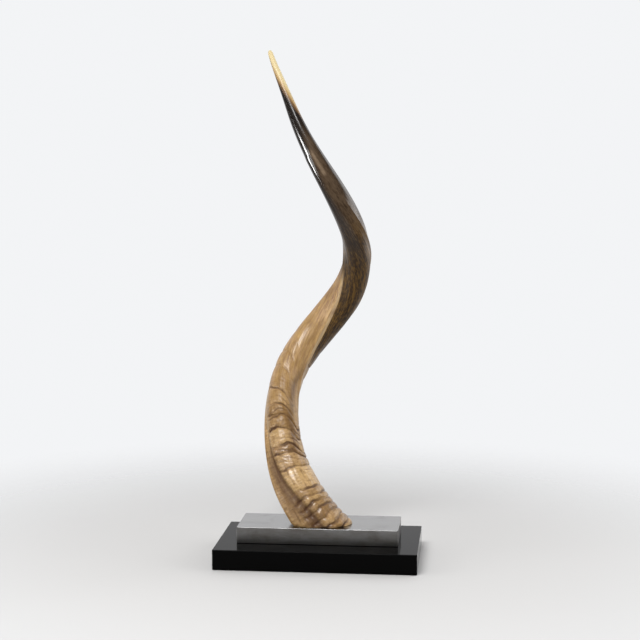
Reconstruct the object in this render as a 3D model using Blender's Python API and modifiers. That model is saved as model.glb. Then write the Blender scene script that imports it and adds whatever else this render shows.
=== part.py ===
"""A kudu horn on a stand: the horn is cut off flat and stands on a metal block, and the block on a black base.

All sizes are in metres. +Z is up, +X is to the right and +Y to the back as the horn is seen from the front.
The origin is the centre of the black base's underside.
"""

import math

import bmesh
import bpy
import numpy as np

COLLECTION = "kudu_horn"

# The stand. Widths run along X, depths along Y. The block is centred on the base.
BASE_WIDTH = 0.250
BASE_DEPTH = 0.150
BASE_HEIGHT = 0.025
BLOCK_WIDTH = 0.200
BLOCK_DEPTH = 0.078
BLOCK_HEIGHT = 0.020
BASE_EDGE_ROUND = 0.0010
BLOCK_EDGE_ROUND = 0.0008
REST_GAP = 0.0003

# The horn winds like a corkscrew round an upright line, which stands at this place in X and Y.
HORN_FOOT_Z = BASE_HEIGHT + BLOCK_HEIGHT + 2 * REST_GAP
TURN_AXIS = (0.002, 0.050)

# Stations up the horn: height above its foot, radius of the turn, bearing of the horn from the turn's axis,
# bearing that the keel faces, and half the horn's thickness. Bearings are degrees from +X toward +Y.
STATIONS = np.array((
    (0.000, 0.0590, 270.0, 212.0, 0.0290),
    (0.045, 0.0575, 237.0, 203.0, 0.0258),
    (0.090, 0.0570, 210.0, 196.0, 0.0230),
    (0.135, 0.0555, 187.0, 180.0, 0.0215),
    (0.180, 0.0535, 154.0, 154.0, 0.0206),
    (0.230, 0.0485, 108.5, 109.0, 0.0203),
    (0.280, 0.0435, 58.0, 60.0, 0.0199),
    (0.330, 0.0400, 7.5, 12.0, 0.0182),
    (0.380, 0.0415, -42.0, -34.0, 0.0155),
    (0.440, 0.0465, -90.0, -84.0, 0.0113),
    (0.500, 0.0530, -127.0, -125.0, 0.0078),
    (0.545, 0.0605, -147.0, -147.0, 0.0051),
    (0.587, 0.0700, -169.0, -165.0, 0.0029),
))
HORN_RISE = STATIONS[-1, 0]
TIP_ROUND = 0.005

# The section is an oval with a sharp keel on its outer side and a second edge, the crest, on its inner side.
# These are shares of half the thickness, and the widths are angles in radians.
FOOT_OVAL = 0.04
SHAFT_OVAL = -0.10
KEEL_HEIGHT = 0.14
KEEL_WIDTH = 0.22
CREST_HEIGHT = 0.10
CREST_WIDTH = 0.30

# A deep groove runs up beside the keel from the foot. It starts far from the keel and closes in on it.
GROOVE_DEPTH = 0.17
GROOVE_WIDTH = 0.25
GROOVE_AT_TOP = 0.33
GROOVE_SPREAD = 0.65
GROOVE_LENGTH = 0.090
GROOVE_FADE = (0.060, 0.135)

# Growth rings: puffed bands between cut lines, at these heights. The lowest line lies under the flat cut, and the
# rings fade out over the first bend.
RING_HEIGHTS = np.array((
    -0.030, 0.004, 0.0115, 0.0185, 0.026, 0.0345, 0.061, 0.079, 0.089, 0.105, 0.120, 0.134, 0.149, 0.170, 0.190,
    0.214, 0.238))
RING_RELIEF = 0.0017
RING_FADE = (0.110, 0.240)
BAND_SHARES = (0.0, 0.10, 0.30, 0.60, 0.88)

# How finely the horn is divided.
AROUND = 30
SMOOTH_ROW = 0.0075
FOOT_BLEND = 0.050


def smooth_step(value, start, end):
    """Rises smoothly from 0 at start to 1 at end."""
    share = np.clip((value - start) / (end - start), 0.0, 1.0)
    return share * share * (3.0 - 2.0 * share)


def turned_from(angle, middle):
    """The angle measured from middle, between -pi and pi."""
    return (angle - middle + math.pi) % (2.0 * math.pi) - math.pi


def along_stations(column, height):
    """A station value at any height, on the natural cubic curve through the stations."""
    knots = STATIONS[:, 0]
    values = STATIONS[:, column]
    gaps = np.diff(knots)
    slopes = np.diff(values) / gaps
    system = np.diag(np.concatenate(([1.0], 2.0 * (gaps[:-1] + gaps[1:]), [1.0])))
    for row in range(1, len(knots) - 1):
        system[row, row - 1] = gaps[row - 1]
        system[row, row + 1] = gaps[row]
    bends = np.linalg.solve(system, np.concatenate(([0.0], 6.0 * np.diff(slopes), [0.0])))
    span = np.clip(np.searchsorted(knots, height) - 1, 0, len(gaps) - 1)
    gap = gaps[span]
    above = height - knots[span]
    below = knots[span + 1] - height
    line = (values[span] * below + values[span + 1] * above) / gap
    return line + (bends[span] * below * (below**2 - gap**2)
                   + bends[span + 1] * above * (above**2 - gap**2)) / (6.0 * gap)


def centre_line(height):
    """The middle of the horn at a height above its foot."""
    radius = along_stations(1, height)
    bearing = np.radians(along_stations(2, height))
    x = TURN_AXIS[0] + radius * np.cos(bearing)
    y = TURN_AXIS[1] + radius * np.sin(bearing)
    return np.stack((x, y, height), axis=-1)


def unit(vectors):
    """The vectors at length 1."""
    return vectors / np.linalg.norm(vectors, axis=-1, keepdims=True)


def section_axes(height):
    """The direction that the keel faces, square to the horn, and the direction a quarter turn on from it."""
    nudge = 0.0002
    forward = unit(centre_line(height + nudge) - centre_line(height - nudge))
    bearing = np.radians(along_stations(3, height))
    level = np.stack((np.cos(bearing), np.sin(bearing), np.zeros_like(bearing)), axis=-1)
    keel = unit(level - forward * np.sum(level * forward, axis=-1, keepdims=True))
    return keel, np.cross(forward, keel)


def section_shape(height, angle):
    """The horn's radius as a share of half its thickness, at an angle from the keel."""
    share = height / HORN_RISE
    lift = smooth_step(share, 0.05, 0.25)
    oval = FOOT_OVAL * (1.0 - lift) + SHAFT_OVAL * lift * (1.0 - smooth_step(share, 0.70, 0.95))
    keel = KEEL_HEIGHT * (1.0 - 0.35 * smooth_step(share, 0.05, 0.30)) * (1.0 - smooth_step(share, 0.60, 0.85))
    crest = CREST_HEIGHT * smooth_step(share, 0.10, 0.30) * (1.0 - smooth_step(share, 0.55, 0.80))
    groove = GROOVE_DEPTH * (1.0 - smooth_step(height, *GROOVE_FADE))
    groove_at = GROOVE_AT_TOP + GROOVE_SPREAD * (1.0 - smooth_step(height, 0.0, GROOVE_LENGTH))
    return (1.0 + oval * np.cos(2.0 * angle)
            + keel * np.exp(-np.abs(turned_from(angle, 0.0) / KEEL_WIDTH) ** 1.5)
            + crest * np.exp(-np.abs(turned_from(angle, math.pi) / CREST_WIDTH) ** 1.5)
            - groove * np.exp(-(turned_from(angle, groove_at) / GROOVE_WIDTH) ** 2))


def ring_relief(height, angle):
    """How far the growth rings stand out, in metres. The keel's own side stays plain."""
    band = np.clip(np.searchsorted(RING_HEIGHTS, height) - 1, 0, len(RING_HEIGHTS) - 2)
    low = RING_HEIGHTS[band]
    share = np.clip((height - low) / (RING_HEIGHTS[band + 1] - low), 0.0, 1.0)
    puff = np.sqrt(1.0 - (2.0 * share - 1.0) ** 2) - 0.6
    clear_of_keel = 1.0 - np.exp(-(turned_from(angle, 0.15) / 0.55) ** 4)
    return RING_RELIEF * puff * clear_of_keel * (1.0 - smooth_step(height, *RING_FADE))


def horn_surface(height, angle):
    """Points on the horn's skin, above its foot."""
    keel, side = section_axes(height)
    rounding = np.clip((HORN_RISE - height) / TIP_ROUND, 0.0, 1.0)
    thickness = along_stations(4, height) * np.sqrt(1.0 - (1.0 - rounding) ** 2)
    radius = thickness * section_shape(height, angle) + ring_relief(height, angle)
    across = np.cos(angle)[..., None] * keel + np.sin(angle)[..., None] * side
    return centre_line(height) + radius[..., None] * across


def cut_heights(angle):
    """Where each line up the horn meets the flat cut. The horn leans there, so the lines start at unlike heights."""
    height = np.zeros_like(angle)
    for _ in range(20):
        height = height - 0.8 * horn_surface(height, angle)[..., 2]
    return height


def row_heights():
    """Heights of the rows of points: close at the rings, wider on the smooth shaft, close again at the tip."""
    low = RING_HEIGHTS[1:-1, None]
    bands = (low + np.diff(RING_HEIGHTS[1:])[:, None] * np.array(BAND_SHARES)).ravel()
    shaft = np.arange(RING_HEIGHTS[-1], HORN_RISE - TIP_ROUND, SMOOTH_ROW)
    tip = HORN_RISE - TIP_ROUND * np.array((1.0, 0.6, 0.3, 0.1))
    return np.concatenate(([0.0], bands, shaft, tip))


def horn_points():
    """Rows of points up the horn. The first row lies in the flat cut."""
    turn = 2.0 * math.pi * np.arange(AROUND) / AROUND
    angle = turn - 0.12 * np.sin(2.0 * turn)
    rows = row_heights()[:, None]
    height = rows + cut_heights(angle) * (1.0 - smooth_step(rows, 0.0, FOOT_BLEND))
    points = horn_surface(height, np.broadcast_to(angle, height.shape))
    points[0, :, 2] = 0.0
    points[..., 2] += HORN_FOOT_Z
    return points


def build_horn(material):
    """The horn, one solid: a loft through unlike sections, closed by the flat cut and by the tip."""
    rows = horn_points()
    mesh = bmesh.new()
    rings = [[mesh.verts.new(point) for point in row] for row in rows]
    foot = mesh.verts.new(rows[0].mean(axis=0))
    tip = mesh.verts.new(centre_line(np.array(HORN_RISE)) + np.array((0.0, 0.0, HORN_FOOT_Z)))
    for index in range(AROUND):
        after = (index + 1) % AROUND
        mesh.faces.new((foot, rings[0][after], rings[0][index]))
        for lower, upper in zip(rings, rings[1:]):
            mesh.faces.new((lower[index], lower[after], upper[after], upper[index]))
        mesh.faces.new((rings[-1][index], rings[-1][after], tip))
    data = bpy.data.meshes.new("horn")
    mesh.to_mesh(data)
    mesh.free()
    data.shade_smooth()
    data.set_sharp_from_angle(angle=math.radians(50.0))
    add_object("horn", data, material)


def build_slab(name, width, depth, height, bottom, edge_round, material):
    """A plain slab with lightly rounded edges, standing at the given height."""
    mesh = bmesh.new()
    bmesh.ops.create_cube(mesh, size=1.0)
    bmesh.ops.scale(mesh, vec=(width, depth, height), verts=mesh.verts)
    data = bpy.data.meshes.new(name)
    mesh.to_mesh(data)
    mesh.free()
    slab = add_object(name, data, material)
    slab.location = (0.0, 0.0, bottom + height / 2.0)
    edges = slab.modifiers.new("rounded edges", "BEVEL")
    edges.width = edge_round
    edges.segments = 2


def add_object(name, data, material):
    """A named object in the horn's collection."""
    made = bpy.data.objects.new(name, data)
    data.materials.append(material)
    bpy.data.collections[COLLECTION].objects.link(made)
    return made


def plain_material(name, colour, roughness, metallic):
    """A surface of one colour."""
    material = bpy.data.materials.new(name)
    material.use_nodes = True
    shader = material.node_tree.nodes["Principled BSDF"]
    shader.inputs["Base Color"].default_value = (*colour, 1.0)
    shader.inputs["Roughness"].default_value = roughness
    shader.inputs["Metallic"].default_value = metallic
    return material


def main():
    for old in list(bpy.data.objects):
        bpy.data.objects.remove(old)
    bpy.context.scene.collection.children.link(bpy.data.collections.new(COLLECTION))
    build_slab("black_base", BASE_WIDTH, BASE_DEPTH, BASE_HEIGHT, 0.0, BASE_EDGE_ROUND,
               plain_material("black gloss", (0.012, 0.012, 0.014), 0.12, 0.0))
    build_slab("metal_block", BLOCK_WIDTH, BLOCK_DEPTH, BLOCK_HEIGHT, BASE_HEIGHT + REST_GAP, BLOCK_EDGE_ROUND,
               plain_material("polished metal", (0.60, 0.59, 0.57), 0.25, 1.0))
    build_horn(plain_material("polished horn", (0.27, 0.17, 0.09), 0.30, 0.0))


main()
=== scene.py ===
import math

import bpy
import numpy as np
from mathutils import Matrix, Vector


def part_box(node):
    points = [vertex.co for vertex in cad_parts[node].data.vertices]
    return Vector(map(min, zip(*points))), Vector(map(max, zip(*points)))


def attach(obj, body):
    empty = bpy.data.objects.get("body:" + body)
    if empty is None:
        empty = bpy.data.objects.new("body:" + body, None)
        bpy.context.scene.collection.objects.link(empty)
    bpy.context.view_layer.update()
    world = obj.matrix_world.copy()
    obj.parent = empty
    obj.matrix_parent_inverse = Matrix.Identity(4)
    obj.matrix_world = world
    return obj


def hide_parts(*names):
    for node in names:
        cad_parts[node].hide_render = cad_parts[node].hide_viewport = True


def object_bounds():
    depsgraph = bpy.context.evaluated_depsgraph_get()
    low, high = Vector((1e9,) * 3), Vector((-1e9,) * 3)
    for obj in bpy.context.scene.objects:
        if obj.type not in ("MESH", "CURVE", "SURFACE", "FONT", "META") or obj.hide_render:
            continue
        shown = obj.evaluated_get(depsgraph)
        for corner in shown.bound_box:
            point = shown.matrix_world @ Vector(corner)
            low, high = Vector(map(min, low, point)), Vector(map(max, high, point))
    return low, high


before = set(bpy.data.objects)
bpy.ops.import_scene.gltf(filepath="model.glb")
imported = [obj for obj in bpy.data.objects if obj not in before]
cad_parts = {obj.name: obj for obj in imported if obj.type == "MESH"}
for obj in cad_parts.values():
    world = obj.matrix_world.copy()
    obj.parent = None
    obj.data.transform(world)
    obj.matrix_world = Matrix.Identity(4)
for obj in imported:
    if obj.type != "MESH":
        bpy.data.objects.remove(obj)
cad_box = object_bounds()

# %% [markdown]
# ## A kudu horn on its stand
# The object is a corkscrew horn, cut off flat and standing on a polished metal block, which lies on a
# glossy black base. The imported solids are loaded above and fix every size. This file gives the three pieces
# their finish: it makes a finer skin for each of them, the horn's from the same stations and section as its
# solid, and paints each with nodes.

low, high = cad_box
print("nodes:", sorted(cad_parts), "box in mm:", [round(float(side) * 1000) for side in high - low])

# %% [markdown]
# ## The camera
# The photograph was taken from a little above the horn's middle and to its right, so the stand's top
# surfaces show as narrow bands. A camera is an eye point, a point that it looks at and a lens. The eye
# point sets the perspective, so it is the photograph's. The lens only crops, so it is long enough for the
# object to fill the frame.

# %% Camera
EYE = (0.194, -1.917, 0.505)
LOOK_AT = (0.000, 0.000, 0.300)
LENS_MM = 88.0


def look_from(eye, target):
    """The rotation at eye whose -Z axis points at target, with +Y as upright as it can be."""
    return (Vector(target) - Vector(eye)).to_track_quat("-Z", "Y").to_euler()


camera = bpy.data.objects.new("camera", bpy.data.cameras.new("camera"))
camera.location = EYE
camera.rotation_euler = look_from(EYE, LOOK_AT)
camera.data.lens = LENS_MM
camera.data.dof.use_dof = False
bpy.context.scene.collection.objects.link(camera)
bpy.context.scene.camera = camera

# %% [markdown]
# ## Nodes as arithmetic
# Shader graphs are easier to read as sums and products. This small class wraps one output socket. Its
# operators add Math nodes, and its `node` method adds any other node: the settings first, then the values
# or links of its sockets.

# %% Sockets that can be added and multiplied


class Wire:
    """One output socket of a shader node. Arithmetic on it adds Math nodes to its tree."""

    def __init__(self, tree, socket):
        self.tree = tree
        self.socket = socket

    def node(self, kind, settings=None, sockets=None, output=0):
        """Adds a node of this kind and gives one of its outputs."""
        made = self.tree.nodes.new(kind)
        for name, value in (settings or {}).items():
            setattr(made, name, value)
        for name, value in (sockets or {}).items():
            if isinstance(value, Wire):
                self.tree.links.new(value.socket, made.inputs[name])
            else:
                made.inputs[name].default_value = value
        return Wire(self.tree, made.outputs[output])

    def math(self, operation, first, second=0.0):
        """A Math node with these two numbers or wires."""
        return self.node("ShaderNodeMath", {"operation": operation}, {0: first, 1: second})

    def __add__(self, other):
        return self.math("ADD", self, other)

    def __sub__(self, other):
        return self.math("SUBTRACT", self, other)

    def __rsub__(self, other):
        return self.math("SUBTRACT", other, self)

    def __mul__(self, other):
        return self.math("MULTIPLY", self, other)

    __radd__ = __add__

    def step(self, start, end):
        """Rises smoothly from 0 where the value is start to 1 where it is end."""
        return self.node("ShaderNodeMapRange", {"interpolation_type": "SMOOTHSTEP"},
                         {"Value": self, "From Min": start, "From Max": end})

    def mixed(self, first, second, amount):
        """Two colours mixed by an amount from 0 to 1."""
        return self.node("ShaderNodeMix", {"data_type": "RGBA"}, {0: amount, 6: first, 7: second}, output=2)

    def toward(self, colour, amount):
        """This colour mixed with another by an amount from 0 to 1."""
        return self.mixed(self, colour, amount)

    def stretched(self, x, y, z):
        """This vector with its parts multiplied, so that a pattern on it is drawn out or squeezed."""
        return self.node("ShaderNodeVectorMath", {"operation": "MULTIPLY"}, {0: self, 1: (x, y, z)})

    def noise(self, scale, detail=4.0, roughness=0.55, distortion=0.0):
        """Smooth noise round 0.5 on this vector. scale is in features a metre."""
        return self.node("ShaderNodeTexNoise", None, {
            "Vector": self, "Scale": scale, "Detail": detail,
            "Roughness": roughness, "Distortion": distortion})


# %% [markdown]
# ## Starting and finishing a material
# Every material here is one Principled BSDF. What is the same all over a surface is set on its socket as a
# number. What changes over the surface is a wire, plugged in at the end. Fine relief comes from a Bump
# node, which tilts the normal by the slope of a height, so that grain too fine for the mesh still catches
# the light.

# %% Material helpers


def new_material(name, **constants):
    """A material with one Principled BSDF. Gives it, its shader and a wire to start other nodes from."""
    material = bpy.data.materials.new(name)
    material.use_nodes = True
    shader = material.node_tree.nodes["Principled BSDF"]
    for socket, value in constants.items():
        shader.inputs[socket.replace("_", " ")].default_value = value
    places = material.node_tree.nodes.new("ShaderNodeTexCoord")
    return material, shader, Wire(material.node_tree, places.outputs["Object"])


def plug(shader, **wires):
    """Links wires to the shader's sockets by name."""
    for socket, wire in wires.items():
        wire.tree.links.new(wire.socket, shader.inputs[socket.replace("_", " ")])


def bump(height, distance, strength=1.0, under=None):
    """Turns a height between 0 and 1 into a tilted normal. distance is the height of 1 in metres."""
    sockets = {"Height": height, "Distance": distance, "Strength": strength}
    if under is not None:
        sockets["Normal"] = under
    return height.node("ShaderNodeBump", None, sockets)


# %% [markdown]
# ## Studio floor
# The floor is plain and pale. A backdrop that curves up behind the object would do as well, but a flat disc
# that thins out into the pale backdrop is simpler, and no horizon cuts behind the horn from any side.

# %% Floor
FLOOR_RADIUS = 6.0
FLOOR_Z = -0.0005
FLOOR_FADE = (0.2125, 0.85)
FLOOR_COLOUR = (0.54, 0.535, 0.53, 1.0)
BACKDROP = (0.895, 0.905, 0.92, 1.0)


def disc(name, radius, z, corners=96):
    """A flat round sheet facing up."""
    turn = 2.0 * np.pi * np.arange(corners) / corners
    points = np.stack((radius * np.cos(turn), radius * np.sin(turn), np.full(corners, z)), axis=1)
    mesh = bpy.data.meshes.new(name)
    mesh.from_pydata(points.tolist(), [], [list(range(corners))])
    made = bpy.data.objects.new(name, mesh)
    bpy.context.scene.collection.objects.link(made)
    return made


def floor_material():
    """Pale and dull, seen in full round the object, and fading out over FLOOR_FADE, in metres from it."""
    material, shader, place = new_material("pale floor", Roughness=0.85, Base_Color=FLOOR_COLOUR)
    distance = place.node("ShaderNodeVectorMath", {"operation": "LENGTH"}, {0: place}, output=1)
    plug(shader, Alpha=1.0 - distance.step(*FLOOR_FADE))
    return material


floor = disc("floor", FLOOR_RADIUS, FLOOR_Z)
floor.data.materials.append(floor_material())
print("floor radius in m:", FLOOR_RADIUS)

# %% [markdown]
# ## The light all round
# Gloss shows what stands round an object. A picture of surroundings could light it, but two plain tones are
# enough here: the light is bright behind the horn and dim in front, so the world is bright toward +Y and dim
# toward -Y. The camera itself sees one plain pale tone: the Light Path node tells its rays from the others.

# %% World
LIGHT_BEHIND = (0.95, 0.95, 0.96, 1.0)
LIGHT_IN_FRONT = (0.075, 0.073, 0.070, 1.0)
FRONT_TO_BACK = (0.00, 0.60)


def studio_world():
    """Dim where a direction's Y is low and bright where it is high, but plain BACKDROP to the camera."""
    world = bpy.data.worlds.new("studio")
    world.use_nodes = True
    tree = world.node_tree
    start = Wire(tree, tree.nodes.new("ShaderNodeTexCoord").outputs["Generated"])
    depth = start.node("ShaderNodeSeparateXYZ", None, {0: start}, output=1)
    tone = start.mixed(LIGHT_IN_FRONT, LIGHT_BEHIND, depth.step(*FRONT_TO_BACK))
    seen = start.node("ShaderNodeLightPath")
    plug(tree.nodes["Background"], Color=tone.toward(BACKDROP, seen))
    return world


bpy.context.scene.world = studio_world()
bpy.context.scene.view_settings.view_transform = "Standard"
print("light behind", LIGHT_BEHIND[:3], "in front", LIGHT_IN_FRONT[:3])

# %% [markdown]
# ## Lamps
# The softbox high in front gives most of the light, and its brighter core the small glints on the ring
# bands. Two panes low on the left show only in the gloss and draw the thin bright leaf on the upper horn. A
# dim window on the right gives the soft sheen there. The two fills show in no gloss and only light the
# sides, as pale surroundings would. Each lamp that shows in the gloss stands where a mirror in place of the
# horn's highlight would look.

# %% Lamps


def area_lamp(name, direction, distance, width, height, watts, lights_surfaces=True, shows_in_gloss=True,
              aim=LOOK_AT, spread=180.0):
    """A rectangular lamp in this direction from the horn's middle, turned toward aim. spread is its beam."""
    lamp = bpy.data.objects.new(name, bpy.data.lights.new(name, "AREA"))
    lamp.data.shape = "RECTANGLE"
    lamp.data.size = width
    lamp.data.size_y = height
    lamp.data.energy = watts
    lamp.data.spread = math.radians(spread)
    lamp.location = Vector(LOOK_AT) + Vector(direction).normalized() * distance
    lamp.rotation_euler = look_from(lamp.location, aim)
    lamp.visible_camera = False
    lamp.visible_diffuse = lights_surfaces
    lamp.visible_glossy = shows_in_gloss
    bpy.context.scene.collection.objects.link(lamp)
    print(name, [round(part, 2) for part in lamp.location], watts, "W")


UPPER_HORN = (0.0, 0.0, 0.58)
area_lamp("softbox", (-0.14, -0.66, 0.72), 2.2, width=1.20, height=0.95, watts=57.0)
area_lamp("softbox core", (-0.10, -0.68, 0.70), 2.2, width=0.60, height=0.50, watts=10.0,
          lights_surfaces=False)
area_lamp("low window", (-0.89, -0.44, -0.06), 1.0, width=0.24, height=0.38, watts=1.15,
          lights_surfaces=False, aim=UPPER_HORN, spread=50.0)
area_lamp("second pane", (-0.64, -0.75, 0.00), 1.0, width=0.20, height=0.26, watts=1.2, lights_surfaces=False)
area_lamp("side window", (0.80, 0.40, 0.40), 1.8, width=1.20, height=1.00, watts=7.5)
area_lamp("right fill", (0.96, -0.25, 0.15), 1.8, width=1.20, height=1.20, watts=14.0, shows_in_gloss=False)
area_lamp("left fill", (-0.90, -0.42, 0.15), 1.8, width=1.20, height=1.20, watts=14.0, shows_in_gloss=False)

# %% [markdown]
# ## The horn's course
# A kudu horn winds round an upright line as it grows. Each station below says how far from that line the
# horn is at some height, on which bearing, which way its keel faces and how thick it is. A smooth curve
# through the stations gives the same values at any height, so the horn can be drawn as finely as wanted.

# %% Stations up the horn
HORN_FOOT_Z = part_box("horn")[0][2]
HORN_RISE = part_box("horn")[1][2] - HORN_FOOT_Z
TURN_AXIS = (0.002, 0.050)
# Height, distance from the axis, bearing, the keel's bearing, half the thickness. Metres and degrees.
STATIONS = np.array((
    (0.000, 0.0590, 270.0, 212.0, 0.0290),
    (0.045, 0.0575, 237.0, 203.0, 0.0258),
    (0.090, 0.0570, 210.0, 196.0, 0.0230),
    (0.135, 0.0555, 187.0, 180.0, 0.0215),
    (0.180, 0.0535, 154.0, 154.0, 0.0206),
    (0.230, 0.0485, 108.5, 109.0, 0.0203),
    (0.280, 0.0435, 58.0, 60.0, 0.0199),
    (0.330, 0.0400, 7.5, 12.0, 0.0182),
    (0.380, 0.0415, -42.0, -34.0, 0.0155),
    (0.440, 0.0465, -90.0, -84.0, 0.0113),
    (0.500, 0.0530, -127.0, -125.0, 0.0078),
    (0.545, 0.0605, -147.0, -147.0, 0.0051),
    (0.587, 0.0700, -169.0, -165.0, 0.0029),
))
HEIGHT, REACH, BEARING, KEEL_BEARING, HALF_THICKNESS = range(5)
TOP = STATIONS[-1, HEIGHT]
print("horn rises in mm:", round(HORN_RISE * 1000, 1), "stations:", len(STATIONS))

# %% [markdown]
# ## Values between the stations
# Straight lines between the stations would leave a bend at each of them. A natural cubic curve passes
# through the same values with no bend, and is stiff like a bent lath, which is how a horn's course looks.

# %% Smooth curves


def smooth_step(value, start, end):
    """3s^2 - 2s^3, where s is how far value is from start to end, held between 0 and 1."""
    share = np.clip((value - start) / (end - start), 0.0, 1.0)
    return share * share * (3.0 - 2.0 * share)


def turned_from(angle, middle):
    """The angle measured from middle, between -pi and pi."""
    return (angle - middle + math.pi) % (2.0 * math.pi) - math.pi


def along_stations(column, height):
    """The natural cubic curve through one column: cubic pieces whose bends meet at each station."""
    knots = STATIONS[:, HEIGHT]
    values = STATIONS[:, column]
    gaps = np.diff(knots)
    slopes = np.diff(values) / gaps
    system = np.diag(np.concatenate(([1.0], 2.0 * (gaps[:-1] + gaps[1:]), [1.0])))
    inner = np.arange(1, len(knots) - 1)
    system[inner, inner - 1] = gaps[:-1]
    system[inner, inner + 1] = gaps[1:]
    bends = np.linalg.solve(system, np.concatenate(([0.0], 6.0 * np.diff(slopes), [0.0])))
    span = np.clip(np.searchsorted(knots, height) - 1, 0, len(gaps) - 1)
    gap = gaps[span]
    above = height - knots[span]
    below = knots[span + 1] - height
    line = (values[span] * below + values[span + 1] * above) / gap
    return line + (bends[span] * below * (below**2 - gap**2)
                   + bends[span + 1] * above * (above**2 - gap**2)) / (6.0 * gap)


print("half thickness half way up in mm:", round(1000 * float(along_stations(HALF_THICKNESS, TOP / 2.0)), 1))

# %% [markdown]
# ## The centre line and its axes
# A section needs a place and two directions across the horn. The place is on the centre line. The first
# direction is the keel's, made square to the line, and the second is square to both. Twisting the keel's
# bearing from station to station is what turns the horn about itself.

# %% Centre line
NUDGE = 0.0002


def centre_line(height):
    """The axis plus radius times (cos bearing, sin bearing), at the given height."""
    radius = along_stations(REACH, height)
    bearing = np.radians(along_stations(BEARING, height))
    x = TURN_AXIS[0] + radius * np.cos(bearing)
    y = TURN_AXIS[1] + radius * np.sin(bearing)
    return np.stack((x, y, height), -1)


def unit(vectors):
    """The vectors divided by their lengths."""
    return vectors / np.linalg.norm(vectors, axis=-1, keepdims=True)


def section_axes(height):
    """The keel's direction made square to the centre line, and the line's direction cross it."""
    forward = unit(centre_line(height + NUDGE) - centre_line(height - NUDGE))
    bearing = np.radians(along_stations(KEEL_BEARING, height))
    level = np.stack((np.cos(bearing), np.sin(bearing), np.zeros_like(bearing)), -1)
    keel = unit(level - forward * np.sum(level * forward, -1, keepdims=True))
    return keel, np.cross(forward, keel)


print("centre line half way up in mm:", np.round(centre_line(np.array(TOP / 2.0)) * 1000))

# %% [markdown]
# ## The horn's section
# Cut across, the horn is an oval with a sharp keel on the outside of the turn, a blunter crest on the
# inside, and near the foot a deep groove beside the keel. The radius at each height and angle is a sum of
# such terms, each a bell curve round its own angle. Angles are in radians from the keel, and heights in
# metres above the cut.

# %% Section
FOOT_OVAL, SHAFT_OVAL = 0.04, 0.10
KEEL_RISE, KEEL_WIDTH = 0.14, 0.22
CREST_RISE, CREST_WIDTH = 0.10, 0.30
EDGE_POWER = 1.5
GROOVE_DEPTH, GROOVE_WIDTH = 0.17, 0.25
GROOVE_AT, GROOVE_SPREAD = 0.33, 0.65
GROOVE_LENGTH = 0.090
GROOVE_FADE = (0.060, 0.135)


def bell(angle, middle, width, power=2.0):
    """exp(-|a|^power), with a the angle from middle in widths."""
    return np.exp(-np.abs(turned_from(angle, middle) / width) ** power)


def groove_amount(height, angle):
    """1 in the middle of the groove beside the keel, 0 away from it and above the first bend."""
    middle = GROOVE_AT + GROOVE_SPREAD * (1.0 - smooth_step(height, 0.0, GROOVE_LENGTH))
    return bell(angle, middle, GROOVE_WIDTH) * (1.0 - smooth_step(height, *GROOVE_FADE))


def section_shape(height, angle):
    """1 + oval cos 2a + keel bell + crest bell - groove bell, as a share of half the thickness.

    The ranges are shares of the horn's rise. The oval turns over at the foot, and the edges fade to the tip.
    """
    share = height / TOP
    lift = smooth_step(share, 0.05, 0.25)
    oval = FOOT_OVAL * (1.0 - lift) - SHAFT_OVAL * lift * (1.0 - smooth_step(share, 0.70, 0.95))
    keel = KEEL_RISE * (1.0 - 0.35 * smooth_step(share, 0.05, 0.30)) * (1.0 - smooth_step(share, 0.60, 0.85))
    crest = CREST_RISE * smooth_step(share, 0.10, 0.30) * (1.0 - smooth_step(share, 0.55, 0.80))
    return (1.0 + oval * np.cos(2.0 * angle) + keel * bell(angle, 0.0, KEEL_WIDTH, EDGE_POWER)
            + crest * bell(angle, math.pi, CREST_WIDTH, EDGE_POWER)
            - GROOVE_DEPTH * groove_amount(height, angle))


keel_side_crest = np.array((0.0, math.pi / 2.0, math.pi))
print("keel, side and crest half way up:", np.round(section_shape(TOP / 2.0, keel_side_crest), 2))

# %% [markdown]
# ## Growth rings
# The foot grew in spurts, and each spurt left a band between two lines. The lines could be drawn at even
# steps, but a real horn's are uneven in height and depth, so they stand in a table. They waver round the
# horn and dip where they reach the crest, and a curve of the angle added to the height does both.

# %% Ring lines
# Height of each line, its depth from 0 to 1, and how dark the band above it is (below 0 is pale).
RING_LINES = np.array((
    (-0.0300, 0.0, 0.00), (-0.0130, 0.8, 0.30), (-0.0050, 0.9, 0.10), (0.0030, 0.8, 0.45),
    (0.0115, 0.9, 0.20), (0.0185, 1.0, 0.05), (0.0260, 1.0, 0.15), (0.0345, 0.9, -0.25),
    (0.0610, 0.7, 0.05), (0.0790, 0.9, 0.40), (0.0885, 1.0, -0.10), (0.1070, 0.8, 0.20),
    (0.1220, 0.9, 0.25), (0.1340, 0.5, 0.05), (0.1520, 0.9, 0.10), (0.1780, 0.8, -0.08),
    (0.1945, 1.0, -0.15), (0.2140, 0.2, -0.50), (0.2380, 0.2, 0.00),
))
LINE_HEIGHT, LINE_DEPTH, BAND_TONE = range(3)
RING_FADE = (0.120, 0.270)


def ring_height(height, angle):
    """The height with the ring lines' own course taken off: they waver, and dip at the crest."""
    waver = (0.0013 * np.sin(2.0 * angle + 1.0 + 60.0 * height)
             + 0.0008 * np.sin(5.0 * angle + 170.0 * height)
             + 0.0004 * np.sin(13.0 * angle + 240.0 * height))
    dip = 0.016 * bell(angle, 2.55, 0.55) * smooth_step(height, 0.055, 0.080)
    return height + waver + dip


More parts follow.
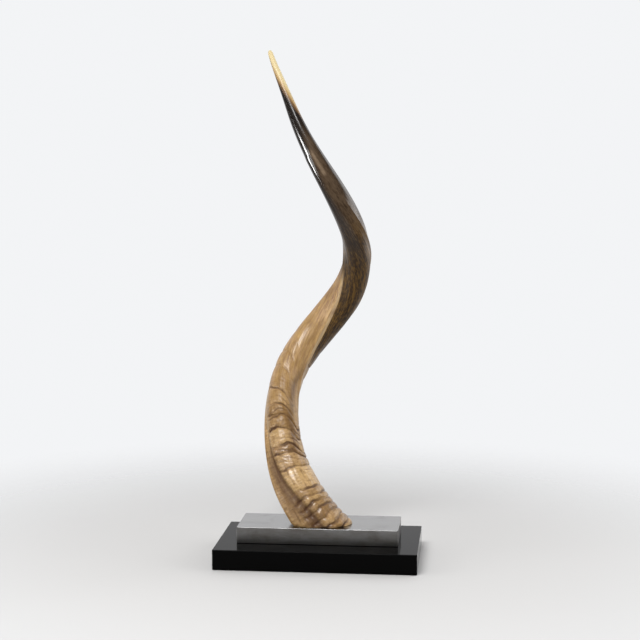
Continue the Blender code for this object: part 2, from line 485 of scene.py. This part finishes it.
def ring_band(height, angle):
    """Which band between two ring lines a point is in, and where in it: 0 at the bottom, 1 at the top."""
    height = ring_height(height, angle)
    band = np.clip(np.searchsorted(RING_LINES[:, LINE_HEIGHT], height) - 1, 0, len(RING_LINES) - 2)
    lower = RING_LINES[band, LINE_HEIGHT]
    return band, np.clip((height - lower) / (RING_LINES[band + 1, LINE_HEIGHT] - lower), 0.0, 1.0)


def ring_strength(height, angle):
    """The rings fade out up the first bend, stop at the crest above the foot, and leave the keel plain."""
    crest_side = bell(angle, 2.80, 0.62, 4.0) * smooth_step(height, 0.100, 0.128)
    keel_side = bell(angle, 0.10, 0.50, 4.0)
    return (1.0 - keel_side) * (1.0 - 0.95 * crest_side) * (1.0 - smooth_step(height, *RING_FADE))


def ring_cut(height, angle, width):
    """1 in the middle of a deep ring line and 0 between the lines: a sum of bell curves, one a line."""
    gap = (ring_height(height, angle)[..., None] - RING_LINES[:, LINE_HEIGHT]) / width
    uneven = 0.65 + 0.35 * np.sin(3.0 * angle[..., None] + 2.1 * np.arange(len(RING_LINES)))
    lines = np.sum(RING_LINES[:, LINE_DEPTH] * uneven * np.exp(-gap**2), axis=-1)
    return lines * ring_strength(height, angle)


print("ring lines above the cut:", int(np.sum(RING_LINES[:, LINE_HEIGHT] > 0.0)))

# %% [markdown]
# ## Low relief
# Between the lines lie hair-thin creases, and long shallow flutes run up the whole horn. Bump alone would
# draw them, but the outline would stay smooth, so they are in the mesh. The upper horn also has one low
# swelling with a short step at its top, which breaks the long highlight there in two.

# %% Creases, puffs and flutes
CREASE_SPACING = 0.0070
CREASE_POWER = 4
CREASE_DEPTH = 0.00035
PUFF_HEIGHT, PUFF_LEVEL = 0.0017, 0.6
CUT_DEPTH, CUT_WIDTH = 0.0010, 0.0011
SCAR_HEIGHT, SCAR_AT, SCAR_WIDTH = 0.0007, -0.95, 0.70
FLUTE_HEIGHT = 0.00010


def fine_creases(height, angle):
    """Hair lines between the ring lines: a raised cosine of the ring height, to a power, strong in patches.

    They are strongest over the wide bands of the first bend.
    """
    turns = (ring_height(height, angle) / CREASE_SPACING + 0.50 * np.sin(2.0 * angle + 55.0 * height)
             + 0.30 * np.sin(190.0 * height + 1.0))
    patchy = 0.6 + 0.4 * np.sin(3.0 * angle - 130.0 * height + 1.0)
    reach = (0.8 + 0.9 * smooth_step(height, 0.062, 0.085)) * (1.0 - smooth_step(height, 0.150, 0.180))
    line = (0.5 + 0.5 * np.cos(2.0 * math.pi * turns)) ** CREASE_POWER
    return line * patchy * reach * ring_strength(height, angle)


def ring_relief(height, angle):
    """Half an ellipse over each band, a narrow cut at each line between two bands, and the hair lines."""
    _, share = ring_band(height, angle)
    ellipse = np.sqrt(1.0 - (2.0 * share - 1.0) ** 2)
    puff = PUFF_HEIGHT * (ellipse - PUFF_LEVEL) * ring_strength(height, angle)
    return puff - CUT_DEPTH * ring_cut(height, angle, CUT_WIDTH) - CREASE_DEPTH * fine_creases(height, angle)


def scar_relief(height, angle):
    """A low swelling on the upper horn's side: a bell curve round it, ending upward in a short step."""
    rise = (1.0 - smooth_step(height, 0.4560, 0.4620)) * smooth_step(height, 0.405, 0.440)
    return SCAR_HEIGHT * bell(angle, SCAR_AT, SCAR_WIDTH) * rise


def flute_relief(height, angle):
    """Long shallow flutes up the horn: waves round the section whose phases drift slowly with height."""
    waves = (np.sin(11.0 * angle + 3.0 * np.sin(9.0 * height))
             + 0.8 * np.sin(17.0 * angle - 14.0 * height + 1.3)
             + 0.6 * np.sin(29.0 * angle + 22.0 * height + 0.4))
    return FLUTE_HEIGHT * waves * (1.0 - 0.92 * smooth_step(height, 0.300, 0.430))


side_of_foot = (np.array(0.030), np.array(1.5))
print("ring relief at a side of the foot in mm:", round(1000 * float(ring_relief(*side_of_foot)), 2))


# %% [markdown]
# ## The horn's surface
# A point of the skin is the centre line's point plus the radius in the direction of its angle. The section
# leans with the horn, so the lowest one isn't level. Each line up the horn is therefore followed down to
# where it meets the flat cut, which a few steps find.

# %% Surface of the horn
TIP_ROUND = 0.005
CUT_STEPS, CUT_STEP_SHARE = 24, 0.8


def horn_radius(height, angle):
    """Half thickness times section shape, rounded off at the tip, plus the reliefs."""
    rounding = np.clip((TOP - height) / TIP_ROUND, 0.0, 1.0)
    thickness = along_stations(HALF_THICKNESS, height) * np.sqrt(1.0 - (1.0 - rounding) ** 2)
    relief = ring_relief(height, angle) + scar_relief(height, angle) + flute_relief(height, angle) * rounding
    return thickness * section_shape(height, angle) + relief


def horn_surface(height, angle):
    """Centre line plus radius times (cos angle along the keel + sin angle along the side)."""
    keel, side = section_axes(height)
    across = np.cos(angle)[..., None] * keel + np.sin(angle)[..., None] * side
    return centre_line(height) + horn_radius(height, angle)[..., None] * across


def cut_heights(angle):
    """Where each line up the horn meets the flat cut, found by stepping down by most of the height left."""
    height = np.zeros_like(angle)
    for _ in range(CUT_STEPS):
        height = height - CUT_STEP_SHARE * horn_surface(height, angle)[..., 2]
    return height


keel_half_way = (np.array(TOP / 2.0), np.array(0.0))
print("radius at the keel half way up in mm:", round(1000 * float(horn_radius(*keel_half_way)), 1))

# %% [markdown]
# ## The grid
# The skin is a grid of heights and angles. Its rows are close together where the rings are and wider above
# them, and its columns crowd at the keel and the crest, where the section bends most. At the very foot the
# horn swells a little and turns in above the metal, which the toe adds.

# %% Grid of the horn's skin
AROUND = 176
CROWDING = 0.12
RINGS_END = 0.2386
RING_ROW, SMOOTH_ROW = 0.00062, 0.0022
TIP_SHARES = np.array((1.0, 0.8, 0.62, 0.46, 0.32, 0.2, 0.11, 0.05, 0.02))
CUT_REACH = 0.050
TOE_SWELL, TOE_SWELL_Z, TOE_SWELL_HEIGHT = 0.055, 0.0065, 0.0045
TOE_TURN, TOE_TURN_HEIGHT, TOE_END = 0.030, 0.0030, 0.06

angles = 2.0 * np.pi * np.arange(AROUND) / AROUND
angles = angles - CROWDING * np.sin(2.0 * angles)
ringed_rows = np.arange(0.0, RINGS_END, RING_ROW)
smooth_rows = np.arange(RINGS_END, TOP - TIP_ROUND, SMOOTH_ROW)
rows = np.concatenate((ringed_rows, smooth_rows, TOP - TIP_ROUND * TIP_SHARES))[:, None]
heights = rows + cut_heights(angles) * (1.0 - smooth_step(rows, 0.0, CUT_REACH))
around = np.broadcast_to(angles, heights.shape)
skin = horn_surface(heights, around)
skin[0, :, 2] = 0.0

swell = TOE_SWELL * np.exp(-((skin[..., 2] - TOE_SWELL_Z) / TOE_SWELL_HEIGHT) ** 2) * bell(around, 2.4, 1.0)
toe = (swell - TOE_TURN * (1.0 - smooth_step(skin[..., 2], 0.0, TOE_TURN_HEIGHT)))[..., None]
foot_middle = skin[0, :, :2].mean(axis=0)
skin[..., :2] = skin[..., :2] + toe * (skin[..., :2] - foot_middle) * (rows < TOE_END)[..., None]
skin[..., 2] = np.minimum(skin[..., 2], HORN_RISE) + HORN_FOOT_Z
print("horn grid:", skin.shape[:2], "triangles:", 2 * skin.shape[0] * skin.shape[1])

# %% [markdown]
# ## From grid to mesh
# A grid that closes on itself round the horn is a tube. Two fans close it: one in the flat cut and one at
# the tip. The mesh can also keep a few numbers for each point, which the materials read back. They stay
# with the surface however it turns, where a pattern on plain coordinates would be cut straight through it.

# %% A closed tube from a grid


def tube_mesh(name, grid, start_point, end_point):
    """Quads between neighbouring rows and columns, and a fan of triangles at each end."""
    count, columns = grid.shape[:2]
    points = np.concatenate((grid.reshape(-1, 3), [start_point, end_point]))
    index = np.arange(count * columns).reshape(count, columns)
    after = np.roll(index, -1, axis=1)
    quads = np.stack((index[:-1], after[:-1], after[1:], index[1:]), -1).reshape(-1, 4)
    first = np.stack((np.full(columns, len(points) - 2), after[0], index[0]), -1)
    last = np.stack((np.full(columns, len(points) - 1), index[-1], after[-1]), -1)
    mesh = bpy.data.meshes.new(name)
    mesh.from_pydata(points.tolist(), [], first.tolist() + quads.tolist() + last.tolist())
    mesh.shade_smooth()
    made = bpy.data.objects.new(name, mesh)
    bpy.context.scene.collection.objects.link(made)
    return made


def keep_values(piece, name, values):
    """Stores a vector for each grid point, and the end rows' means for the two end points."""
    ends = np.stack((values[0].mean(axis=0), values[-1].mean(axis=0)))
    attribute = piece.data.attributes.new(name, "FLOAT_VECTOR", "POINT")
    attribute.data.foreach_set("vector", np.concatenate((values.reshape(-1, 3), ends)).ravel())


tip_point = centre_line(np.array(TOP)) + np.array((0.0, 0.0, HORN_FOOT_Z))
horn = tube_mesh("horn_skin", skin, skin[0].mean(axis=0), tip_point)
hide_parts("horn")
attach(horn, "root")
print("horn_skin faces:", len(horn.data.polygons))

# %% [markdown]
# ## Where the colours lie
# A horn's colours follow its growth: stripes run up it and drift slowly round it. Each stripe below is a
# bell curve round an angle that changes with the height, and it starts and stops softly. Three of them are
# painted light, not growth: a sheen streak on the upper horn, shade on its outer side, and shade along the
# crest of the first bend. The stripes are worked out here, once for each point of the mesh, because in
# nodes the same formulas would be long.

# %% Stripes
GLOW_COURSE = ((0.34, -30.0), (0.413, -18.0), (0.476, 46.0), (0.51, 60.0))
# The streak's course marks a painted sheen beside the thin highlight on the upper horn.
PAINTED_SHEEN_COURSE = ((0.433, -6.0), (0.466, 10.0))
BLACK_COURSE = (
    (0.353, -84.0), (0.387, -63.0), (0.404, -77.0), (0.424, -101.0), (0.455, -79.0), (0.478, -35.0))
# The crest shade's course: painted shade along the shaded side of the crest in the first bend.
CREST_SHADE_COURSE = (
    (0.075, 121.0), (0.116, 114.0), (0.134, 130.0), (0.161, 146.0), (0.184, 176.0), (0.21, 192.0))


def stripe(height, angle, course, width):
    """A bell curve round an angle that goes from point to point of a course, each (height, degrees)."""
    table = np.array(course)
    return bell(angle, np.radians(np.interp(height, table[:, 0], table[:, 1])), width)


def between(height, first, second):
    """Rises from 0 to 1 over the first range of heights and falls back to 0 over the second."""
    return smooth_step(height, *first) * (1.0 - smooth_step(height, *second))


def glow_amount(height, angle):
    """How light the dark upper horn is: a light stripe and a painted sheen streak, less black and painted
    shade.
    """
    light = stripe(height, angle, GLOW_COURSE, 0.75) * (1.0 - smooth_step(height, 0.47, 0.52))
    streak = stripe(height, angle, PAINTED_SHEEN_COURSE, 0.24) * between(height, (0.430, 0.438), (0.458, 0.468))
    black = 0.42 * stripe(height, angle, BLACK_COURSE, 0.55) * smooth_step(height, 0.335, 0.360)
    # Painted shade: the outer side of the horn is darkened in colour at these heights.
    painted_shade = 0.75 * bell(angle, math.radians(-46.0), 0.62) * between(height, (0.290, 0.325), (0.350, 0.380))
    return light + streak - black - painted_shade


def crest_shade_amount(height, angle):
    """Painted shade: a brown band along the shaded side of the crest, on the inner side of the first bend."""
    return stripe(height, angle, CREST_SHADE_COURSE, 0.24) * between(height, (0.06, 0.10), (0.16, 0.21))


def flank_amount(height, angle):
    """The browner strip between the keel and the groove at the foot."""
    return bell(angle, 0.42, 0.27) * between(height, (0.002, 0.024), (0.060, 0.095))


def tone_amount(height, angle):
    """How dark a point's ring band is, less the pale stripe along the crest."""
    band, _ = ring_band(height, angle)
    crest = bell(angle, 3.30, 0.22) * between(height, (0.17, 0.21), (0.31, 0.33))
    return RING_LINES[band, BAND_TONE] * ring_strength(height, angle) - 0.52 * crest


def cut_amount(height, angle):
    """The ring lines, and the hair lines at less than half their strength."""
    return ring_cut(height, angle, 0.0015) + 0.45 * fine_creases(height, angle)


def wide_groove(height, angle):
    """The groove, widened on the keel's side by a fainter copy of itself."""
    return np.maximum(groove_amount(height, angle), 0.8 * groove_amount(height, angle + 0.20))


print("glow at the keel near the top:", round(float(glow_amount(np.array(0.45), np.array(0.0))), 2))


# %% [markdown]
# ## Values for the nodes
# Four vectors hold them. `straight` is where a point lies when the horn is straightened out, with its
# length along the curve as Z, so that grain follows the horn round every turn. `marks`, `side` and `bands`
# hold three numbers each: rise, cuts and groove; cosine and sine of the angle, and flank; glow with its
# painted sheen and shade, the crest's painted shade, and tone.

# %% Values kept on the mesh
fine = np.linspace(-0.03, TOP + 0.01, 2000)
steps = np.linalg.norm(np.diff(centre_line(fine), axis=0), axis=1)
lengths = np.concatenate(([0.0], np.cumsum(steps)))
radius = horn_radius(heights, around)
keep_values(horn, "straight", np.stack((
    radius * np.cos(around), radius * np.sin(around), np.interp(heights, fine, lengths)), -1))
keep_values(horn, "marks", np.stack((
    heights / TOP, cut_amount(heights, around), wide_groove(heights, around)), -1))
keep_values(horn, "side", np.stack((np.cos(around), np.sin(around), flank_amount(heights, around)), -1))
keep_values(horn, "bands", np.stack((
    glow_amount(heights, around), crest_shade_amount(heights, around), tone_amount(heights, around)), -1))
horn_length = float(np.interp(TOP, fine, lengths) - np.interp(0.0, fine, lengths))
print("horn length along its curve in mm:", round(1000 * horn_length))

# %% [markdown]
# ## Horn colours
# The foot is tan, with brown in the ring lines and the groove. Up the second bend the skin turns dark
# brown, first on one side of the crest, and near the top nearly black. The tip is cream, and the black ends
# in a slanting line with an amber edge. A colour ramp could hold them all, but single tones are easier to
# set against the real horn. These are the tones, and the cells after this one mix them.

# %% Palette of the horn
LIGHT_TAN = (0.512, 0.334, 0.146, 1.0)
TAN = (0.205, 0.112, 0.037, 1.0)
ROSE_TAN = (0.400, 0.250, 0.150, 1.0)
GOLD_TAN = (0.430, 0.262, 0.085, 1.0)
PALE_HORN = (0.480, 0.385, 0.260, 1.0)
ROSE_BROWN = (0.200, 0.112, 0.062, 1.0)
FLANK_BROWN = (0.150, 0.080, 0.034, 1.0)
CUT_BROWN = (0.062, 0.026, 0.011, 1.0)
GOLDEN_BROWN = (0.195, 0.104, 0.022, 1.0)
UMBER = (0.088, 0.058, 0.035, 1.0)
# The paler umber below is the colour of a painted sheen.
PAINTED_SHEEN_UMBER = (0.190, 0.135, 0.088, 1.0)
DARK_BROWN = (0.026, 0.014, 0.007, 1.0)
NEAR_BLACK = (0.009, 0.007, 0.006, 1.0)
AMBER = (0.120, 0.066, 0.030, 1.0)
HONEY = (0.370, 0.240, 0.100, 1.0)
CREAM = (0.565, 0.460, 0.255, 1.0)
print("palest and darkest tones:", CREAM[:3], NEAR_BLACK[:3])

# %% [markdown]
# ## The grain of horn
# Horn is made of fibres that run along it, so most of these patterns are noise drawn out along the
# straightened length. Wrinkles and patches run across instead, as growth left them. One kind of noise at
# seven scales and stretches does all of it, where a picture of horn would repeat and would show its seam.

# %% Patterns on the straightened horn


def kept_vector(place, name):
    """A vector kept on the mesh."""
    return place.node("ShaderNodeAttribute", {"attribute_name": name}, output=1)


def parts(place, name):
    """The three values of a vector kept on the mesh."""
    vector = kept_vector(place, name)
    return [vector.node("ShaderNodeSeparateXYZ", None, {0: vector}, output=part) for part in range(3)]


horn_paint, horn_shader, place = new_material(
    "polished horn", Coat_Roughness=0.21, Coat_IOR=1.5, IOR=1.45, Specular_IOR_Level=0.25)
horn.data.materials.append(horn_paint)
straight = kept_vector(place, "straight")
rise, cuts, groove = parts(place, "marks")
cosine, sine, flank = parts(place, "side")
glow, crest_shade, tone = parts(place, "bands")
fibre = straight.stretched(1.0, 1.0, 0.06).noise(1000.0, 3.0)
fleck = straight.stretched(1.0, 1.0, 0.30).noise(650.0, 3.0, 0.6)
vein = straight.stretched(1.0, 1.0, 0.12).noise(500.0, 3.0, 0.6)
streak = straight.stretched(1.0, 1.0, 0.10).noise(300.0, 4.0, 0.6)
blotch = straight.stretched(1.0, 1.0, 0.45).noise(75.0, 5.0, 0.6)
wrinkle = straight.stretched(0.22, 0.22, 1.0).noise(480.0, 4.0, 0.65)
patch = straight.stretched(0.5, 0.5, 1.0).noise(150.0, 4.0, 0.65, 0.5)
print("nodes so far:", len(horn_paint.node_tree.nodes))

# %% [markdown]
# ## Tan skin
# The lower horn goes from tan to light tan with the grain, and then warmer and darker tones are laid over
# it one after another: rose and gold in patches, brown in wrinkles and streaks, pale along the crest, dark
# brown as painted shade along the crest's shaded side, and dark brown in the ring lines and the groove. Each
# layer has its own mask, so each can be made stronger or weaker without touching the others.

# %% Tan of the lower horn
FOOT_FADE = (0.10, 0.42)
UPPER_RISE = (0.16, 0.34)
MIDDLE_RISE = (0.40, 0.47)

foot = 1.0 - rise.step(*FOOT_FADE)
upper = rise.step(*UPPER_RISE)
paleness = 0.0 - tone
light = (streak * 0.9 + fibre * 0.6 + blotch * 0.9 - 0.70 - tone * 0.8
         + foot * (0.5 - wrinkle) * 0.9 + foot * 0.06)
tan = place.mixed(TAN, LIGHT_TAN, light.step(0.10, 0.95))
tan = tan.toward(ROSE_TAN, blotch.step(0.45, 0.70) * 0.45)
tan = tan.toward(GOLD_TAN, patch.step(0.50, 0.68) * 0.40)
tan = tan.toward(FLANK_BROWN, flank * (streak * 0.8 + 0.25))
tan = tan.toward(CUT_BROWN, wrinkle.step(0.46, 0.86) * foot * 0.45)
tan = tan.toward(CUT_BROWN, (patch + tone * 0.15).step(0.50, 0.72) * foot * 0.45)
tan = tan.toward(CUT_BROWN, streak.step(0.52, 0.74) * 0.50)
tan = tan.toward(CUT_BROWN, fibre.step(0.50, 0.72) * blotch.step(0.30, 0.60) * 0.30)
tan = tan.toward(ROSE_BROWN, vein.step(0.44, 0.62) * (upper * 0.52 + rise.step(*MIDDLE_RISE) * 0.38))
tan = tan.toward(PALE_HORN, paleness.step(0.35, 0.65) * (1.0 - vein.step(0.45, 0.65) * 0.5) * 0.75)
# Painted shade: dark brown along the crest's shaded side, broken up by streaks.
tan = tan.toward(CUT_BROWN, crest_shade * (streak * 0.9 + 0.15))
# Darker brown in the ring lines and hair lines, broken up by noise.
ring_line_darkening = cuts * (blotch * 1.2 + fleck * 0.8 - 0.15)
tan = tan.toward(CUT_BROWN, ring_line_darkening.step(0.05, 0.80) * (0.85 - upper * 0.25))
# Darker brown in the groove, broken up by noise.
groove_darkening = groove + blotch * 0.8 + fleck * 0.5 - 0.65
tan = tan.toward(CUT_BROWN, groove_darkening.step(0.30, 0.95) * 0.80)
print("nodes so far:", len(horn_paint.node_tree.nodes))

# %% [markdown]
# ## Dark skin and the tip
# The dark brown starts lower on the side of the crest turned from the main light than on the other, so its
# mask adds the side to the height: that darker brown is partly the horn's own skin and partly painted shade.
# Flecks of golden brown and umber show through it where the glow is, a paler painted sheen lies along one
# streak, and black takes over toward the top. The tip's colours come last, along a level that slants with
# the angle, as the black of the horn ends in a slanting line.

# %% Dark brown and the tip's colours
DARK_START = (0.49, 0.56)
UMBER_START = (0.55, 0.68)
BLACK_START = (0.60, 0.80)
AMBER_EDGE = (0.868, 0.885)
HONEY_EDGE = (0.886, 0.914)
CREAM_EDGE = (0.908, 0.958)

# Partly painted shade: the side of the crest turned from the main light darkens earlier, partly the horn's
# own darker skin.
dark_and_shaded_side = (cosine * 0.26 - sine * 0.97).step(-0.05, 0.08)
dark = (rise + dark_and_shaded_side * 0.20 + blotch * 0.05 + streak * 0.03 - 0.04).step(*DARK_START)
mottle = fibre * 0.9 + fleck * 0.9 + streak * 0.7 - 0.75 + glow * 0.28
lit_brown = place.mixed(GOLDEN_BROWN, UMBER, rise.step(*UMBER_START))
brown = place.mixed(DARK_BROWN, lit_brown, mottle.step(0.30, 0.95))
blackness = rise - glow * 0.16 + streak * 0.12 + blotch * 0.06 - 0.09
brown = brown.toward(NEAR_BLACK, blackness.step(*BLACK_START) * 0.92)
# Painted sheen: a paler umber along the streak beside the upper highlight.
brown = brown.toward(PAINTED_SHEEN_UMBER, glow.step(1.05, 1.75) * (fleck.step(0.35, 0.60) * 0.4 + 0.5))
slant = rise - cosine * 0.047 + sine * 0.022 + (streak - 0.5) * 0.02
horn_colour = tan.toward(brown, dark)
horn_colour = horn_colour.toward(AMBER, slant.step(*AMBER_EDGE))
horn_colour = horn_colour.toward(HONEY, slant.step(*HONEY_EDGE))
horn_colour = horn_colour.toward(CREAM, slant.step(*CREAM_EDGE))
print("nodes so far:", len(horn_paint.node_tree.nodes))

# %% [markdown]
# ## Gloss and touch
# The horn is polished, most of all on its dark part, and duller in the cuts, over the middle flank and on
# the tip. The shader's coat is the polish and its roughness the skin below. A last wire gives the grain its
# relief: fibres that fade out under the polish, and over them the wrinkles of the foot.

# %% Gloss and fine relief
POLISH_START = (0.58, 0.72)
SATIN_START = (0.10, 0.22)
TIP_EDGE = (0.838, 0.885)
RIDGE_PALENESS = (0.22, 0.46)
MATTE_START, MATTE_END = (0.36, 0.44), (0.54, 0.60)
SHEEN_START, SHEEN_END = (0.565, 0.590), (0.64, 0.68)
CALM_START = (0.58, 0.74)
SKIN_ROUGHNESS, SKIN_COAT = 0.33, 0.62
FIBRE_HEIGHT, WRINKLE_HEIGHT = 0.00050, 0.0014

polish = rise.step(*POLISH_START)
satin = rise.step(*SATIN_START) * (1.0 - polish * 0.8)
tip = slant.step(*TIP_EDGE)
ridge = paleness.step(*RIDGE_PALENESS)
matte = rise.step(*MATTE_START) * (1.0 - rise.step(*MATTE_END))
sheen_side = (cosine * 0.88 - sine * 0.48).step(0.70, 0.95)
sheen = sheen_side * rise.step(*SHEEN_START) * (1.0 - rise.step(*SHEEN_END))
rough = (SKIN_ROUGHNESS + cuts * 0.20 + groove * 0.20 + (fibre - 0.5) * 0.20 * (1.0 - polish)
         - polish * 0.20 + tip * 0.25 + ridge * 0.12 + matte * 0.14)
coat = (SKIN_COAT - foot * 0.08 - groove * 0.35 - cuts * 0.20 - flank * 0.45 - satin * 0.42
        - tip * 0.42 - ridge * 0.06 - matte * 0.16 + sheen * 0.40)
calm = 1.0 - rise.step(*CALM_START) * 0.96
grain = bump((fibre * 0.5 + streak * 0.6 + fleck * 0.3) * calm, FIBRE_HEIGHT, 0.6)
grain = bump((wrinkle + patch * 0.8) * foot, WRINKLE_HEIGHT, 0.7, grain)
plug(horn_shader, Base_Color=horn_colour, Roughness=rough, Coat_Weight=coat, Normal=grain)
print("horn painted with", len(horn_paint.node_tree.nodes), "nodes")

# %% [markdown]
# ## The stand
# Both slabs are plain boxes whose edges are slightly rounded, so that each edge catches a thin line of
# light. A Bevel modifier on a cube would do it too, but one formula makes both slabs and sets the shape of
# every edge: a rounded rectangle is carried down a profile that turns in at the top and the bottom.

# %% A slab with rounded edges


def slab_grid(box, corner, edge, turns=7, rim=0.0004):
    """Rounded rectangles down a profile: a quarter circle, straight up, and a quarter circle again.

    Every bend has a narrow flat rim on both sides, so that its shading doesn't spread over the flat faces.
    """
    low_corner, high_corner = (np.array(point) for point in box)
    centre = (low_corner + high_corner) / 2.0
    half = (high_corner - low_corner) / 2.0
    bend = np.linspace(0.0, np.pi / 2.0, turns)
    inset = edge * (1.0 - np.sin(bend))
    level = edge * (1.0 - np.cos(bend))
    inset = np.concatenate(([edge + rim], inset, [0.0]))
    level = np.concatenate(([0.0], level, [edge + rim]))
    insets = np.concatenate((inset, inset[::-1]))[:, None]
    levels = np.concatenate((low_corner[2] + level, high_corner[2] - level[::-1]))[:, None]
    quarter = np.repeat(np.arange(4), turns + 2)
    turn = np.tile(np.concatenate(([0.0], bend, [np.pi / 2.0])), 4) + quarter * np.pi / 2.0
    shift = np.tile(np.concatenate(([-rim], np.zeros(turns), [rim])), 4)
    sign_x = np.array((1.0, -1.0, -1.0, 1.0))[quarter]
    sign_y = np.array((1.0, 1.0, -1.0, -1.0))[quarter]
    x = centre[0] + sign_x * (half[0] - corner) + (corner - insets) * np.cos(turn) - shift * np.sin(turn)
    y = centre[1] + sign_y * (half[1] - corner) + (corner - insets) * np.sin(turn) + shift * np.cos(turn)
    return np.stack((x, y, np.broadcast_to(levels, x.shape)), -1)


def slab(name, node, corner, edge, material):
    """A finer slab in place of a node, in the node's own box."""
    grid = slab_grid(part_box(node), corner, edge)
    piece = tube_mesh(name, grid, grid[0].mean(axis=0), grid[-1].mean(axis=0))
    piece.data.materials.append(material)
    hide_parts(node)
    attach(piece, "root")
    print(name, "faces:", len(piece.data.polygons))


# %% [markdown]
# ## Polished metal
# The block is nickel-coloured and polished, but handled: broad smudges dull it, and fine lines run along
# it. Its upright faces are duller, are painted darker and browner than its top as painted shade, and carry
# more smudges. One metal does both, with the height as part of the mask, so that the change sits exactly at
# the edge.

# %% Metal block
CLEAN_METAL = (0.255, 0.255, 0.253, 1.0)
DULL_AND_SHADED_METAL = (0.168, 0.156, 0.144, 1.0)
METAL_TOP_Z = (0.0445, 0.0450)
BLOCK_CORNER, BLOCK_EDGE = 0.0013, 0.0004


def metal_material():
    """Smudged polish: broad noise for tarnish, noise drawn out along X for polishing lines, painted shade on
    the sides.
    """
    material, shader, place = new_material("polished metal", Metallic=1.0)
    smudge = place.stretched(1.0, 1.0, 1.6).noise(26.0, 5.0, 0.6, 0.6)
    mottle = place.stretched(0.4, 1.0, 1.4).noise(95.0, 5.0, 0.7, 0.4)
    lines = place.stretched(0.03, 1.0, 1.0).noise(1500.0, 2.0)
    height = place.node("ShaderNodeSeparateXYZ", None, {0: place}, output=2)
    on_side = 1.0 - height.step(*METAL_TOP_Z)
    # Painted shade: the upright faces take the darker, browner metal along with their smudges.
    smudge_and_painted_shade = (smudge.step(0.38, 0.72) * 0.20 + on_side * 0.16 + smudge.step(0.35, 0.65) * on_side * 0.30
            + mottle.step(0.36, 0.68) * on_side * 0.40)
    colour = place.mixed(CLEAN_METAL, DULL_AND_SHADED_METAL, smudge_and_painted_shade)
    rough = 0.15 + smudge.step(0.4, 0.8) * 0.12 + lines * 0.06 + on_side * 0.17
    plug(shader, Base_Color=colour, Roughness=rough, Normal=bump(lines, 0.00002, 0.5))
    return material


slab("block_skin", "metal_block", BLOCK_CORNER, BLOCK_EDGE, metal_material())

# %% [markdown]
# ## Black gloss
# The base is black, and so smooth that it mirrors the block. Only faint dust and wiping marks break it.
# Dust lies on what faces up, so the upright faces have little of it, which also keeps them darker as painted
# shade. Black alone would look like a hole, and the marks in the gloss are what makes the surface show.

# %% Black base
BLACK = (0.0012, 0.0012, 0.0012, 1.0)
DUST = (0.060, 0.058, 0.055, 1.0)
BASE_TOP_Z = (0.0235, 0.0250)
BASE_CORNER, BASE_EDGE = 0.0016, 0.0009


def black_material():
    """Nearly black, with a little dust and wiping marks in the gloss."""
    material, shader, place = new_material("black gloss", IOR=1.38, Specular_IOR_Level=0.05)
    wipe = place.stretched(0.5, 1.4, 1.4).noise(32.0, 5.0, 0.6, 0.4)
    dust = place.noise(2600.0, 2.0, 0.5)
    height = place.node("ShaderNodeSeparateXYZ", None, {0: place}, output=2)
    # Less dust on the upright faces: real dust lies on top, and the darker front is also painted shade.
    top_dust_and_front_shade = height.step(*BASE_TOP_Z) * 0.8 + 0.2
    colour = place.mixed(BLACK, DUST, dust.step(0.62, 0.78) * wipe.step(0.4, 0.7) * top_dust_and_front_shade * 0.35)
    plug(shader, Base_Color=colour, Roughness=0.07 + wipe.step(0.4, 0.8) * 0.07)
    return material


slab("base_skin", "black_base", BASE_CORNER, BASE_EDGE, black_material())
